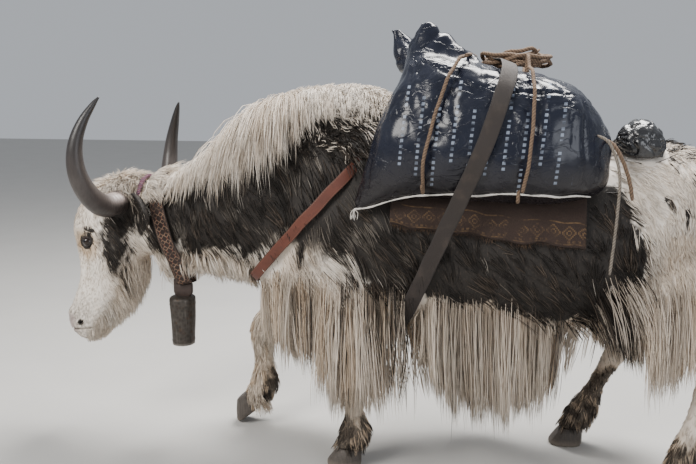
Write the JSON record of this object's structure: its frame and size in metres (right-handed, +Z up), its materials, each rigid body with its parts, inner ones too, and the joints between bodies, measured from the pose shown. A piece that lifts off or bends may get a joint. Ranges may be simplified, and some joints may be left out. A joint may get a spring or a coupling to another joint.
{
  "type": "pack yak",
  "caption": "Life-size pack yak walking with its head low, with two full feed sacks, saddle cloth, girth, breast strap, ropes, collar and bell.",
  "frame": {"origin": "on the floor under the middle of the yak's bounding box", "axes": "the yak faces -X, its left side is -Y, +Z is up"},
  "size_m": [2.3644, 0.898, 1.462],
  "materials": {
    "pale_coat": "matte hair",
    "dark_coat": "matte hair",
    "mixed_coat": "matte hair",
    "horn": "satin horn",
    "hoof": "dull horn",
    "eye": "wet gloss",
    "sack_plastic": "crumpled woven plastic film",
    "webbing": "flat webbing",
    "leather": "worn",
    "saddle_cloth": "coarse weave",
    "rope": "twisted hemp",
    "bell_metal": "dark forged sheet",
    "yarn": "braided yarn"
  },
  "bodies": {
    "root": {"head": "pale_coat", "neck": "dark_coat", "torso": "mixed_coat", "tail": "pale_coat", "foreleg_near": "pale_coat", "foreleg_far": "pale_coat", "hindleg_near": "pale_coat", "hindleg_far": "pale_coat", "hoof_fore_near": "hoof", "hoof_fore_far": "hoof", "hoof_hind_near": "hoof", "hoof_hind_far": "hoof", "eye_near": "eye", "eye_far": "eye", "horn_near": "horn", "horn_far": "horn", "ear_near": "dark_coat", "ear_far": "dark_coat", "sack_near": "sack_plastic", "sack_far": "sack_plastic", "bag": "sack_plastic", "saddle_blanket": "saddle_cloth", "collar": "saddle_cloth", "girth": "webbing", "breast_strap": "leather", "bell_loop": "leather", "bell": "bell_metal", "bell_clapper": "bell_metal", "poll_cord": "yarn", "rope_coil": "rope", "sack_rope_front": "rope", "sack_rope_rear": "rope", "rope_tail_long": "rope", "rope_tail_short": "rope"}
  },
  "joints": []
}
